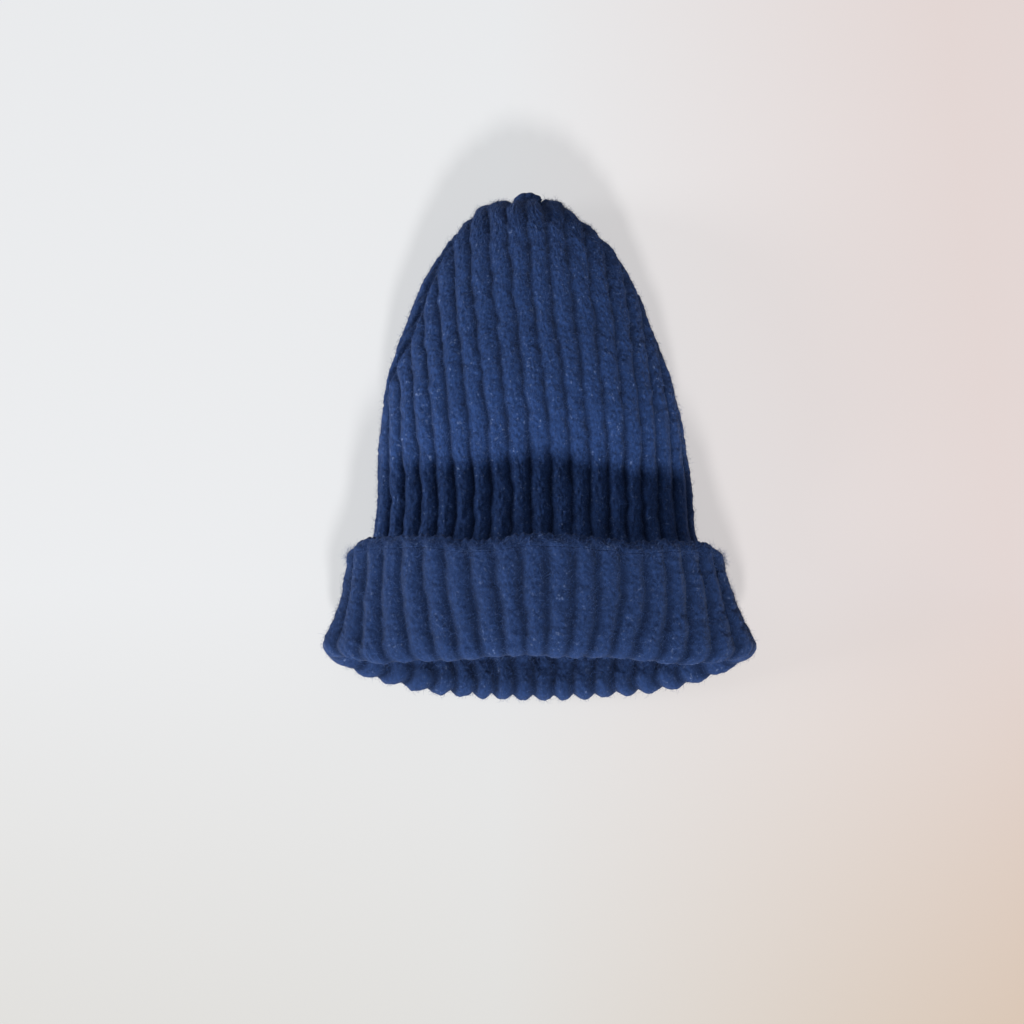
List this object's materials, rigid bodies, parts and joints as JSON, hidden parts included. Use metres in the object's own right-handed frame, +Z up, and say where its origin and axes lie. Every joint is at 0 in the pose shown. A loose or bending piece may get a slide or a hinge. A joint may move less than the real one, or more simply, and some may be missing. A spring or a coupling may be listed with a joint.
{
  "type": "knit beanie",
  "caption": "Tall ribbed knit beanie with a deep turned-up cuff, rounded crown with side seams and a gathered top, lying on its back.",
  "frame": {"origin": "middle of the footprint, on the table that the hat lies on", "axes": "+Z up from the table and out of the hat's front; +Y from the mouth to the crown tip; +X to the wearer's left"},
  "size_m": [0.2172, 0.279, 0.0681],
  "materials": {
    "marled_rib": "brushed marled rib knit, royal and navy",
    "cuff_rib": "brushed marled rib knit, royal and navy, ribs seen from the inner face",
    "cast_on_yarn": "fuzzy cast-on yarn",
    "seam_yarn": "plied navy sewing yarn"
  },
  "bodies": {
    "root": {"knit_body": "marled_rib", "turn_up_cuff": "cuff_rib", "cast_on_edge": "cast_on_yarn", "gathered_top": "marled_rib", "left_crown_seam": "seam_yarn", "right_crown_seam": "seam_yarn", "back_seam": "seam_yarn", "cuff_seam": "seam_yarn", "crown_cinch_yarn": "seam_yarn", "cinch_knot": "seam_yarn", "crown_yarn_tail": "seam_yarn", "cast_on_tail": "cast_on_yarn"}
  },
  "joints": []
}
